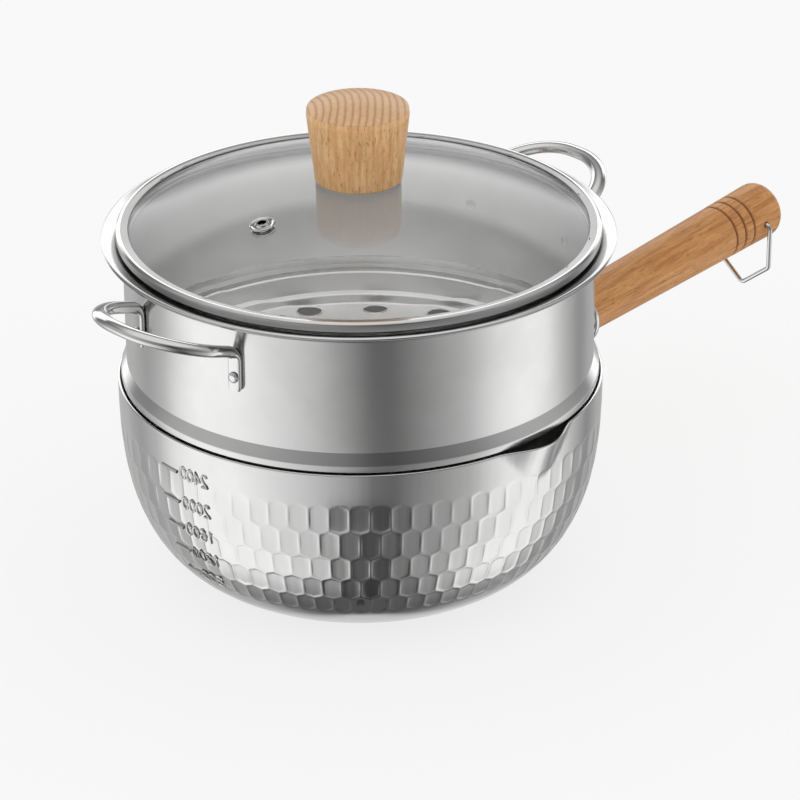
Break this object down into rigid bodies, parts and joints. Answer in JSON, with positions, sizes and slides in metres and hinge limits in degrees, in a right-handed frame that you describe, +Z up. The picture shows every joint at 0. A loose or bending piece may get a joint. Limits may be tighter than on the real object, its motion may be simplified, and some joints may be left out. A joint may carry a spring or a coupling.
{
  "type": "ramen pot",
  "caption": "Hammered steel ramen pot with pouring spouts, turned wooden handle with a hanging ring, steamer insert with loop handles and domed glass lid with wooden knob.",
  "frame": {"origin": "centre of the bowl's flat base, on the table", "axes": "+Z up, +X along the wooden handle, spouts on -Y and +Y"},
  "size_m": [0.4336, 0.233, 0.2259],
  "materials": {
    "hammered_steel": "hammered and polished",
    "satin_steel": "polished outside, fine turned grain",
    "polished_steel": "polished",
    "chromed_wire": "bright",
    "beech": "oiled",
    "tempered_glass": "clear",
    "silicone": "matte"
  },
  "bodies": {
    "pot": {"bowl": "hammered_steel", "handle_socket": "polished_steel", "socket_rivet_left": "polished_steel", "socket_rivet_right": "polished_steel", "handle_screw": "polished_steel", "wooden_handle": "beech"},
    "ring": {"hanging_ring": "chromed_wire"},
    "steamer": {"steamer_insert": "satin_steel", "loop_handle_front": "polished_steel", "loop_handle_rear": "polished_steel", "loop_handle_front_rivet_left": "polished_steel", "loop_handle_front_rivet_right": "polished_steel", "loop_handle_rear_rivet_left": "polished_steel", "loop_handle_rear_rivet_right": "polished_steel"},
    "lid": {"lid_rim_band": "polished_steel", "lid_glass": "tempered_glass", "vent_eyelet": "polished_steel", "vent_lower_ring": "polished_steel", "lid_knob": "beech", "knob_gasket": "silicone", "lower_gasket": "silicone", "knob_washer": "polished_steel", "knob_screw": "polished_steel"}
  },
  "joints": [
    {"name": "ring_swing", "type": "hinge", "parent": "pot", "child": "ring", "pos_m": [0.27555, 0, 0.08109], "axis": [0, 1, 0], "range_deg": [-248, 59]},
    {"name": "steamer_lift", "type": "slide", "parent": "pot", "child": "steamer", "axis": [0, 0, 1], "range_m": [0, 0.15]},
    {"name": "lid_lift", "type": "slide", "parent": "steamer", "child": "lid", "axis": [0, 0, 1], "range_m": [0, 0.12]}
  ]
}
